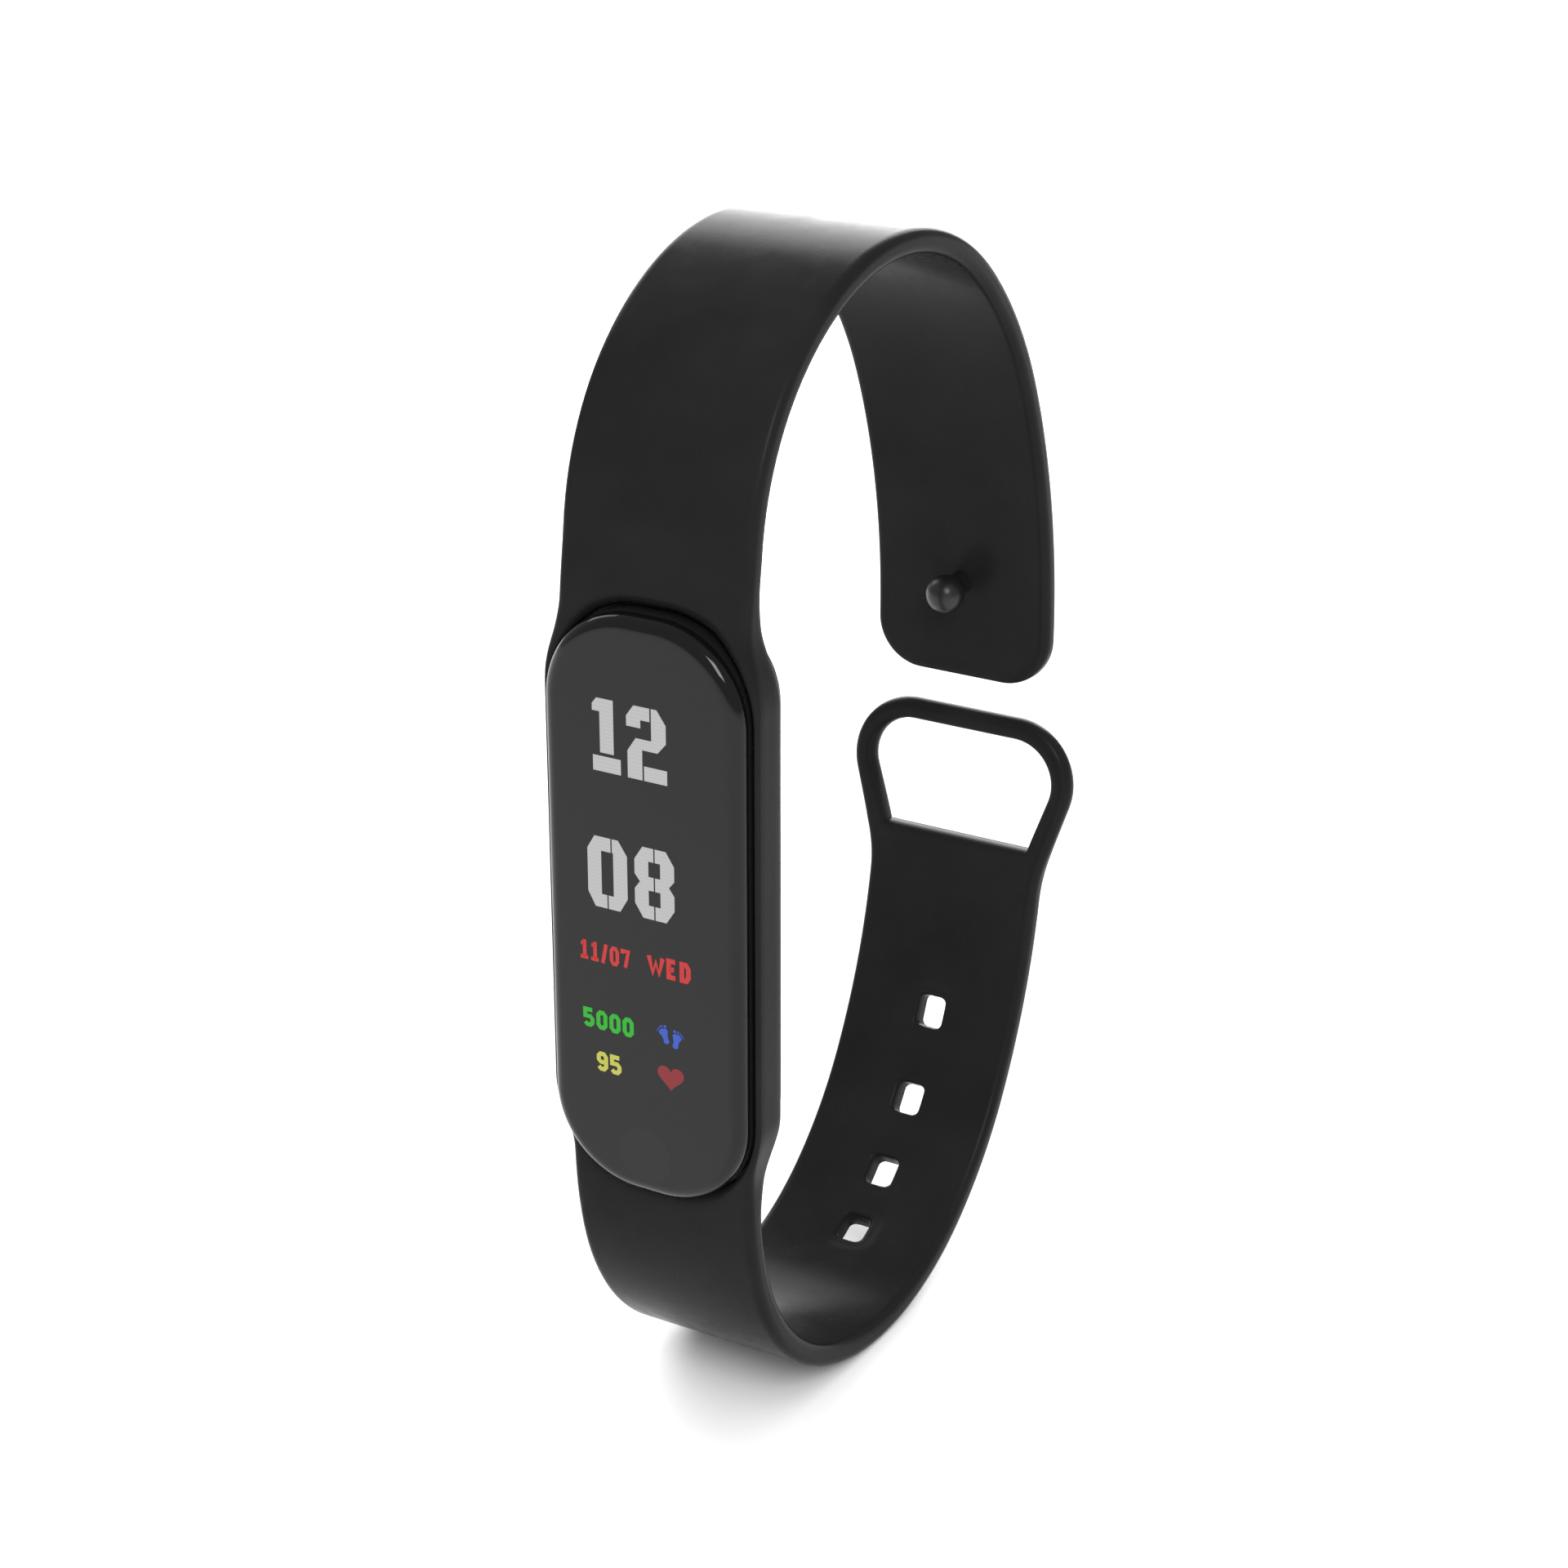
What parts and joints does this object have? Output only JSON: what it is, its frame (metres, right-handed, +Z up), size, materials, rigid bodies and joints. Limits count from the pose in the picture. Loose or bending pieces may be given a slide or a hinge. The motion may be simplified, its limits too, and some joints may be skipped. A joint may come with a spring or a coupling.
{
  "type": "fitness tracker band",
  "caption": "Wrist-worn activity tracker: a slim screen pod pressed into a soft curved strap that closes with a keeper loop, a row of holes and a round-headed stud.",
  "frame": {"origin": "centre of the bounding box across and front to back, at the lowest point of the lower half of the strap", "axes": "+X across the band, -Y out of the screen, +Z up along the tracker towards the half with the stud"},
  "size_m": [0.0212, 0.0536, 0.0948],
  "materials": {
    "silicone": "matte moulded silicone, soft sheen",
    "stud_plastic": "matte black moulded plastic",
    "cover_glass": "black-backed glossy cover glass",
    "seal": "black adhesive gasket",
    "film": "thin glossy sensor film",
    "panel": "glossy black panel",
    "foam": "closed-cell foam",
    "ribbon": "amber ribbon cable film",
    "case_plastic": "fine satin moulded plastic",
    "circuit_board": "green solder-masked board",
    "chip": "matte moulded chip package",
    "steel": "thin bright stamped steel",
    "ceramic": "white sintered ceramic",
    "foil": "soft silver laminate foil",
    "led_lens": "clear green-tinted lens",
    "sensor_window": "polished dark window",
    "gold_plate": "gold-plated contact pin",
    "tungsten": "dense sintered weight"
  },
  "bodies": {
    "cradle": {"strap_cradle": "silicone"},
    "upper_strap": {"upper_strap": "silicone", "closure_stud": "stud_plastic", "stud_cap": "stud_plastic"},
    "lower_strap": {"lower_strap": "silicone"},
    "tracker": {"cover_glass": "cover_glass", "glass_seal": "seal", "touch_panel": "film", "display_panel": "panel", "display_pad": "foam", "display_flex": "ribbon", "inner_frame": "case_plastic", "tracker_case": "case_plastic", "main_board": "circuit_board", "processor": "chip", "memory_chip": "chip", "radio_chip": "chip", "shield_can": "steel", "motion_sensor": "chip", "antenna_chip": "ceramic", "battery_pad": "foam", "battery_cell": "foil", "battery_board": "circuit_board", "sensor_flex": "ribbon", "sensor_board": "circuit_board", "green_leds": "led_lens", "photodiode": "panel", "light_barrier": "case_plastic", "sensor_lens": "sensor_window", "charge_contacts": "gold_plate", "contact_board": "circuit_board", "motor_can": "steel", "motor_base": "circuit_board"},
    "motor_rotor": {"motor_shaft": "steel", "motor_weight": "tungsten"}
  },
  "joints": [
    {"name": "upper_flex", "type": "hinge", "parent": "cradle", "child": "upper_strap", "pos_m": [0, -0.02347, 0.07505], "axis": [1, 0, 0], "range_deg": [0, 35], "stiffness_Nm_per_rad": 0.06},
    {"name": "lower_flex", "type": "hinge", "parent": "cradle", "child": "lower_strap", "pos_m": [0, -0.02357, 0.01947], "axis": [1, 0, 0], "range_deg": [-35, 0], "stiffness_Nm_per_rad": 0.06},
    {"name": "tracker_release", "type": "slide", "parent": "cradle", "child": "tracker", "axis": [0, -1, 0], "range_m": [0, 0.014]},
    {"name": "motor_spin", "type": "hinge", "parent": "tracker", "child": "motor_rotor", "pos_m": [0, -0.02017, 0.0617], "axis": [0, 1, 0], "continuous": true}
  ]
}
